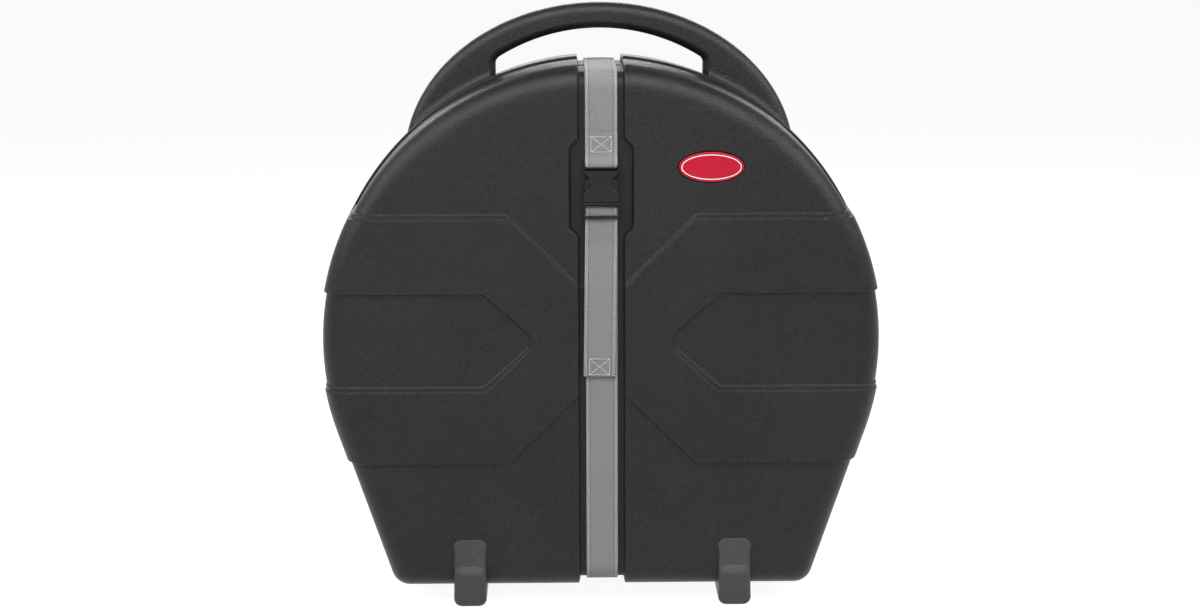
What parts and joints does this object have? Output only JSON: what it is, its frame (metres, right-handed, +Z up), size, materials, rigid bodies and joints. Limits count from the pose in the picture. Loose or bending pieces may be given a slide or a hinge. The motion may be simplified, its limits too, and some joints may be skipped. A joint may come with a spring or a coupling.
{
  "type": "cymbal case",
  "caption": "Moulded round cymbal case on two wheels, with a carrying handle, a webbing strap with a side-release buckle, foam pads and a threaded centre post with a wing nut.",
  "frame": {"origin": "on the floor, under the middle of the closed case", "axes": "+Z up; -Y towards the lid and the buckle; +X to the right when the lid is faced"},
  "size_m": [0.6788, 0.239, 0.7213],
  "materials": {
    "shell_plastic": "dark charcoal, fine pebbled moulding",
    "buckle_plastic": "smooth black",
    "webbing": "light grey ribbed webbing",
    "badge_red": "gloss red with a thin pale ring",
    "steel": "zinc plated",
    "hub_plastic": "dark grey moulding",
    "tread_rubber": "black soft tread",
    "foam": "dark open-cell foam",
    "felt": "grey felt"
  },
  "bodies": {
    "base": {"rear_shell": "shell_plastic", "strap_rear_run": "webbing", "axle_left": "steel", "axle_right": "steel", "foam_base": "foam", "post_plate": "steel", "post_screw_1": "steel", "post_screw_2": "steel", "post_screw_3": "steel", "post_screw_4": "steel", "centre_post": "steel", "felt_lower": "felt"},
    "lid": {"lid_shell": "shell_plastic", "badge_plate": "badge_red", "strap_upper_run": "webbing", "strap_lower_run": "webbing", "buckle_socket": "buckle_plastic", "foam_lid": "foam"},
    "buckle": {"buckle_tongue": "buckle_plastic", "strap_tail": "webbing"},
    "latch_left": {"latch_arm_left": "buckle_plastic"},
    "latch_right": {"latch_arm_right": "buckle_plastic"},
    "wheel_left": {"wheel_hub_left": "hub_plastic", "wheel_tyre_left": "tread_rubber"},
    "wheel_right": {"wheel_hub_right": "hub_plastic", "wheel_tyre_right": "tread_rubber"},
    "nut_stack": {"cup_washer": "steel", "felt_upper": "felt"},
    "nut": {"wing_nut": "steel"}
  },
  "joints": [
    {"name": "lid_slide", "type": "slide", "parent": "base", "child": "lid", "axis": [0, -1, 0], "range_m": [0, 0.18]},
    {"name": "buckle_release", "type": "slide", "parent": "lid", "child": "buckle", "axis": [0, 0, -1], "range_m": [0, 0.035], "deforming": ["strap_lower_run", "latch_arm_left", "latch_arm_right"]},
    {"name": "latch_left", "type": "hinge", "parent": "buckle", "child": "latch_left", "pos_m": [-0.0138, -0.1066, 0.4951], "axis": [0, 1, 0], "range_deg": [0, 16], "stiffness_Nm_per_rad": 0.1},
    {"name": "latch_right", "type": "hinge", "parent": "buckle", "child": "latch_right", "pos_m": [0.0138, -0.1066, 0.4951], "axis": [0, -1, 0], "range_deg": [0, 16], "stiffness_Nm_per_rad": 0.1},
    {"name": "wheel_left_spin", "type": "hinge", "parent": "base", "child": "wheel_left", "pos_m": [-0.1607, 0.0875, 0.032], "axis": [1, 0, 0], "continuous": true},
    {"name": "wheel_right_spin", "type": "hinge", "parent": "base", "child": "wheel_right", "pos_m": [0.1607, 0.0875, 0.032], "axis": [1, 0, 0], "continuous": true},
    {"name": "nut_travel", "type": "slide", "parent": "base", "child": "nut_stack", "axis": [0, 1, 0], "range_m": [0, 0.05]},
    {"name": "nut_spin", "type": "hinge", "parent": "nut_stack", "child": "nut", "pos_m": [0, -0.03, 0.3205], "axis": [0, 1, 0], "range_deg": [0, 14400]}
  ],
  "couplings": [
    {"joint": "nut_spin", "follows": "nut_travel", "rad_per_m": 5026.5}
  ]
}
